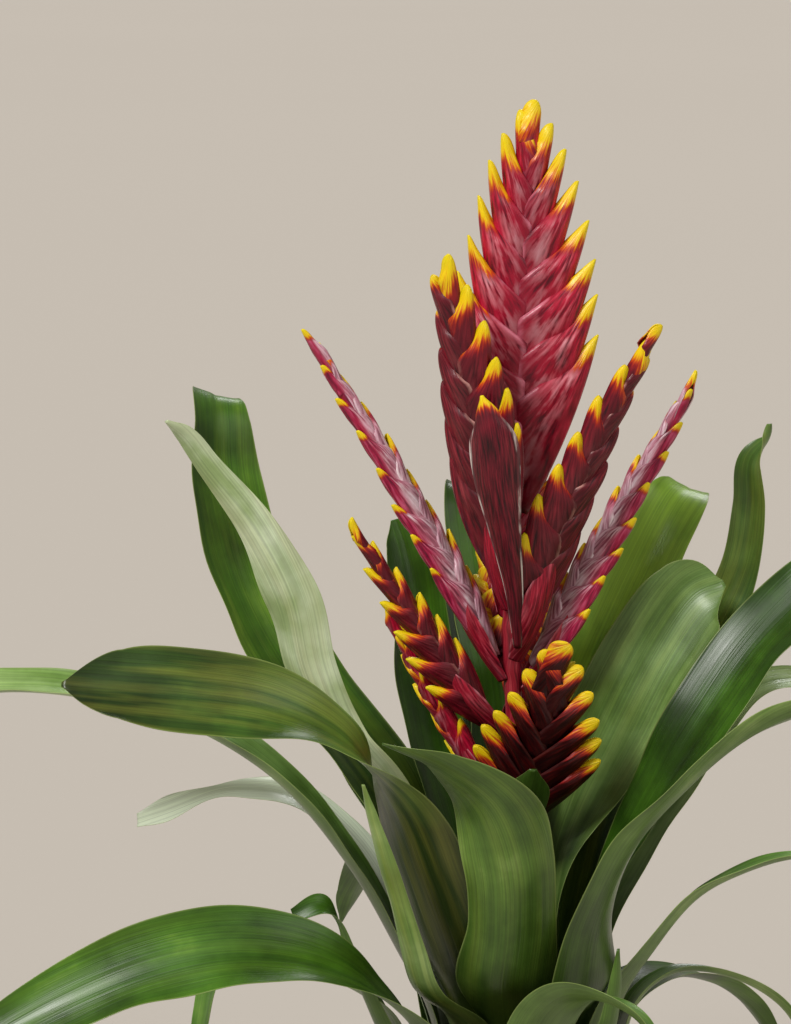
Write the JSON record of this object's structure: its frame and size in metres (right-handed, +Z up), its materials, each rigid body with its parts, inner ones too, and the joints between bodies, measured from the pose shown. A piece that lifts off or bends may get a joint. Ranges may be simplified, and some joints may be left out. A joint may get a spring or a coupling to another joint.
{
  "type": "potted bromeliad",
  "caption": "Flowering bromeliad in a round pot: arching strap leaves around a branched head of flat, two-ranked flower spikes.",
  "frame": {"origin": "centre of the pot's flat underside", "axes": "+Z up along the pot and the flower stem; -Y towards the side the plant is shown from; +X to that side's right"},
  "size_m": [0.4394, 0.3259, 0.5449],
  "materials": {
    "pot": "matt, pale stone colour",
    "potting_mix": "rough, dark composted bark",
    "flower_stem": "smooth, waxy, deep red",
    "leaf": "waxy satin green with fine parallel veins",
    "leaf_underside": "waxy satin grey-green with fine parallel veins",
    "bract": "glossy crimson with yellow tips"
  },
  "bodies": {
    "root": {"pot": "pot", "potting_mix": "potting_mix", "flower_stem": "flower_stem", "leaf_back_upright": "leaf", "leaf_back_left_inner": "leaf", "leaf_back_left_slim": "leaf", "leaf_left_tall": "leaf", "leaf_right_grey": "leaf_underside", "leaf_right_back_broad": "leaf", "leaf_left_twisted": "leaf_underside", "leaf_right_tall_curled": "leaf_underside", "leaf_front_left_broad": "leaf", "leaf_front_folded": "leaf", "leaf_right_glossy": "leaf", "leaf_young_pointed": "leaf_underside", "leaf_left_long_arching": "leaf", "leaf_left_curled_tip": "leaf_underside", "leaf_right_front_broad": "leaf", "leaf_right_low_tip": "leaf", "leaf_back_arching": "leaf", "leaf_back_right_arching": "leaf", "leaf_back_left_arching": "leaf", "leaf_right_slim_arching": "leaf", "leaf_left_low_broad": "leaf", "leaf_right_small_pointed": "leaf_underside", "leaf_left_small_curled": "leaf_underside", "leaf_right_drooping": "leaf", "leaf_left_drooping": "leaf", "leaf_back_low_left": "leaf", "leaf_front_right_low": "leaf", "leaf_back_low_right": "leaf", "stem_leaf": "leaf", "spike_upper_left": "bract", "spike_front_bud": "bract", "spike_upper_right": "bract", "spike_far_right": "bract", "spike_left": "bract", "spike_lower_left": "bract", "spike_lowest_left": "bract", "spike_front_low": "bract", "spike_back_left": "bract", "spike_back_upper": "bract", "spike_back_low": "bract", "top_spike_bract_01": "bract", "top_spike_bract_02": "bract", "top_spike_bract_03": "bract", "top_spike_bract_04": "bract", "top_spike_bract_05": "bract", "top_spike_bract_06": "bract", "top_spike_bract_07": "bract", "top_spike_bract_08": "bract", "top_spike_bract_09": "bract", "top_spike_bract_10": "bract", "top_spike_bract_11": "bract", "top_spike_bract_12": "bract", "top_spike_bract_13": "bract", "top_spike_bract_14": "bract", "top_spike_bract_15": "bract", "top_spike_bract_16": "bract"}
  },
  "joints": []
}
